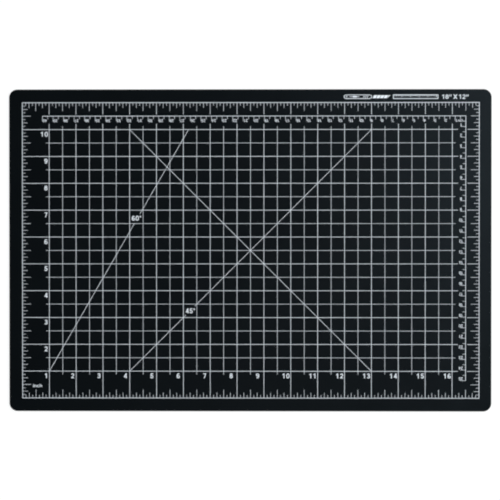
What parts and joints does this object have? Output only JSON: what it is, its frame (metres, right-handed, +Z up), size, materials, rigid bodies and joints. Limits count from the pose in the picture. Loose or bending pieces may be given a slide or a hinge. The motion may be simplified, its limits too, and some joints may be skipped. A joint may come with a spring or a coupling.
{
  "type": "self-healing cutting mat",
  "caption": "Flat rectangular cutting mat of laminated vinyl plies with rounded corners and a printed inch and centimetre measuring grid.",
  "frame": {"origin": "centre of the underside, where the mat rests on the bench", "axes": "+X to the right along the long side, +Y away from the reader of the inch numerals, +Z up out of the printed face"},
  "size_m": [0.456, 0.3046, 0.003],
  "materials": {
    "soft_vinyl": "matte black, finely pebbled plasticised PVC",
    "stiff_vinyl": "dark grey rigid PVC, seen only at the cut edge",
    "core_vinyl": "grey PVC, seen only at the cut edge",
    "white_ink": "cool white screen-printing ink, satin"
  },
  "bodies": {
    "root": {"bottom_self_healing_ply": "soft_vinyl", "lower_stiffening_ply": "stiff_vinyl", "core_ply": "core_vinyl", "upper_stiffening_ply": "stiff_vinyl", "top_self_healing_ply": "soft_vinyl", "ruler_frame_print": "white_ink", "inch_grid_print": "white_ink", "metric_scale_print": "white_ink"}
  },
  "joints": []
}
